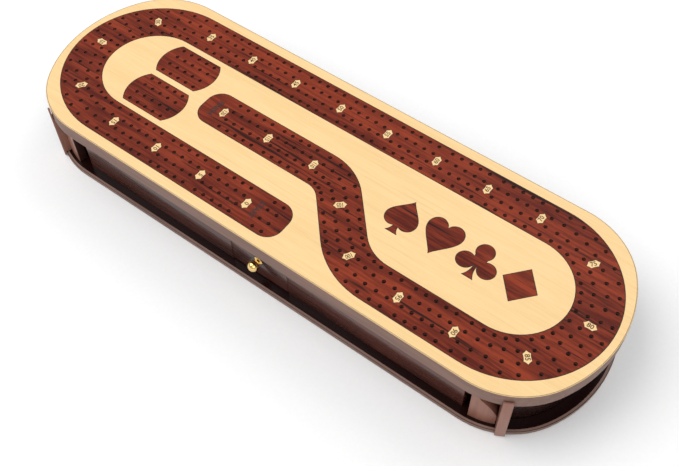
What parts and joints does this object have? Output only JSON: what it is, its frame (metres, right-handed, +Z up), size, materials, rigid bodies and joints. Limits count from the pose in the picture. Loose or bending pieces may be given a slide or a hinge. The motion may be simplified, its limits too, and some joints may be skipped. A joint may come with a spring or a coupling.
{
  "type": "cribbage board",
  "caption": "Racetrack-shaped cribbage board: inlaid maple deck with a winding four-lane peg track, on a recessed case with a knobbed peg drawer and a card drawer at each end.",
  "frame": {"origin": "centre of the underside of the base board", "axes": "+Z up, +X along the board towards the card suits, the peg drawer opens towards -Y"},
  "size_m": [0.391, 0.1318, 0.0458],
  "materials": {
    "maple": "satin lacquered maple",
    "bloodwood": "satin lacquered bloodwood",
    "stained_edge": "satin grey-brown stain",
    "dark_wood": "gloss lacquer over dark wood",
    "light_wood": "satin lacquered light brown wood",
    "drawer_wood": "oiled",
    "brass": "polished",
    "steel": "plain"
  },
  "bodies": {
    "case": {"maple_top_sheet": "maple", "number_plaques": "maple", "games_won_plate_upper": "bloodwood", "games_won_plate_lower": "bloodwood", "track_inlay": "bloodwood", "spade_inlay": "bloodwood", "heart_inlay": "bloodwood", "club_inlay": "bloodwood", "diamond_inlay": "bloodwood", "deck_board": "stained_edge", "base_board": "stained_edge", "base_screws": "steel", "front_wall_left": "dark_wood", "front_wall_right": "dark_wood", "back_wall": "dark_wood", "corner_bracket_left_front": "light_wood", "corner_bracket_left_back": "light_wood", "peg_bay_divider_left": "drawer_wood", "card_bay_partition_left": "drawer_wood", "corner_bracket_right_front": "light_wood", "corner_bracket_right_back": "light_wood", "peg_bay_divider_right": "drawer_wood", "card_bay_partition_right": "drawer_wood"},
    "peg_drawer": {"peg_drawer_side_right": "drawer_wood", "peg_drawer_side_left": "drawer_wood", "peg_drawer_back": "drawer_wood", "peg_drawer_bottom": "drawer_wood", "peg_drawer_front": "dark_wood", "peg_drawer_knob": "brass", "peg_drawer_knob_screw": "steel"},
    "card_drawer_right": {"card_drawer_right_side_front": "drawer_wood", "card_drawer_right_side_back": "drawer_wood", "card_drawer_right_back": "drawer_wood", "card_drawer_right_bottom": "drawer_wood", "card_drawer_right_front": "dark_wood", "card_drawer_right_grip_rib_front": "light_wood", "card_drawer_right_grip_rib_back": "light_wood"},
    "card_drawer_left": {"card_drawer_left_side_front": "drawer_wood", "card_drawer_left_side_back": "drawer_wood", "card_drawer_left_back": "drawer_wood", "card_drawer_left_bottom": "drawer_wood", "card_drawer_left_front": "dark_wood", "card_drawer_left_grip_rib_front": "light_wood", "card_drawer_left_grip_rib_back": "light_wood"}
  },
  "joints": [
    {"name": "peg_drawer_slide", "type": "slide", "parent": "case", "child": "peg_drawer", "axis": [0, -1, 0], "range_m": [0, 0.085]},
    {"name": "card_drawer_right_slide", "type": "slide", "parent": "case", "child": "card_drawer_right", "axis": [1, 0, 0], "range_m": [0, 0.065]},
    {"name": "card_drawer_left_slide", "type": "slide", "parent": "case", "child": "card_drawer_left", "axis": [-1, 0, 0], "range_m": [0, 0.065]}
  ]
}
